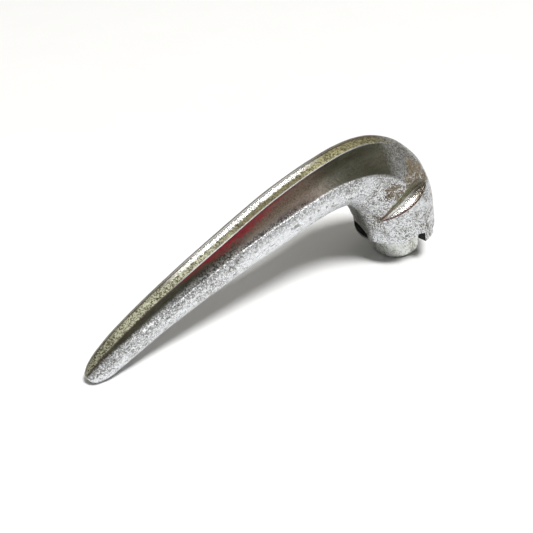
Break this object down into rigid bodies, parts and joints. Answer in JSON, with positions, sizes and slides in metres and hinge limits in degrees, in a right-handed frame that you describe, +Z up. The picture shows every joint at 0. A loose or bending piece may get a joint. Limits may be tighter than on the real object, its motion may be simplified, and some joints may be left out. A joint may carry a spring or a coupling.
{
  "type": "lever handle",
  "caption": "Curved window-catch lever: keeled, fluted cast arm on a hollow hub that turns on a neck ring and drives a square spindle socket.",
  "frame": {"origin": "centre of the neck ring's bottom face, on the hub's turning axis", "axes": "+Z up the turning axis, from the window frame into the hub; the arm runs along -X; the arm's plane of symmetry is Y = 0"},
  "size_m": [0.1174, 0.0238, 0.0448],
  "materials": {
    "worn_plating": "worn and pitted bright plating with tarnish",
    "pale_plating": "dull grey-green plating",
    "zinc_steel": "dull zinc-plated steel",
    "spring_steel": "blued spring steel",
    "bronze": "oiled sintered bronze",
    "polymer": "natural nylon",
    "dark_steel": "blackened steel"
  },
  "bodies": {
    "base": {"base_ferrule": "pale_plating", "bearing_bush": "bronze", "wave_washer": "spring_steel", "lower_washer": "zinc_steel"},
    "lever": {"lever_casting": "worn_plating", "drive_sleeve": "zinc_steel", "grub_screw": "dark_steel", "thrust_washer": "polymer", "retaining_washer": "zinc_steel", "snap_ring": "spring_steel", "stop_dowel": "dark_steel"}
  },
  "joints": [
    {"name": "lever_swing", "type": "hinge", "parent": "base", "child": "lever", "pos_m": [0, 0, 0], "axis": [0, 0, 1], "range_deg": [0, 90]}
  ]
}
